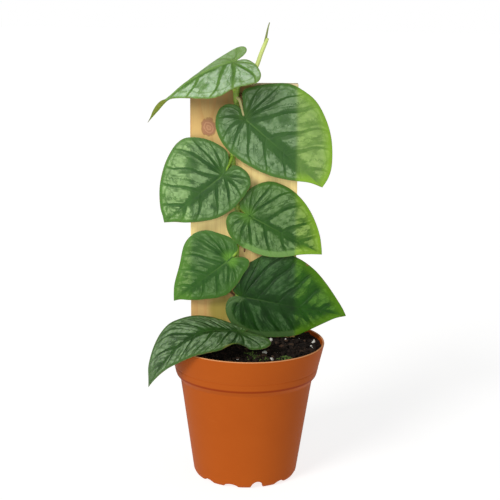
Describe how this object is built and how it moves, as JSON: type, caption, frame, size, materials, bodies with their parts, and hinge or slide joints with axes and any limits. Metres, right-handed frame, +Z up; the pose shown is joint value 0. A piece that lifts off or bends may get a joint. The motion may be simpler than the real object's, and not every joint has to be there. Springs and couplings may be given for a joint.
{
  "type": "potted climbing house plant",
  "caption": "Young shingle plant, Monstera dubia, with heart-shaped mottled leaves, climbing a flat wooden board in a round tapered nursery pot.",
  "frame": {"origin": "centre of the pot's base, on the ground", "axes": "+Z up along the pot's axis, -Y towards the side the leaves face, +X to the right seen from there"},
  "size_m": [0.1402, 0.11, 0.32],
  "materials": {
    "pot": "satin",
    "soil": "matte",
    "board": "matte",
    "stem": "satin",
    "leaf": "satin",
    "shoot": "satin"
  },
  "bodies": {
    "root": {"pot": "pot", "soil": "soil", "board": "board", "stem": "stem", "leaf_1": "leaf", "leaf_2": "leaf", "leaf_3": "leaf", "leaf_4": "leaf", "leaf_5": "leaf", "leaf_6": "leaf", "leaf_7": "leaf", "shoot": "shoot"}
  },
  "joints": []
}
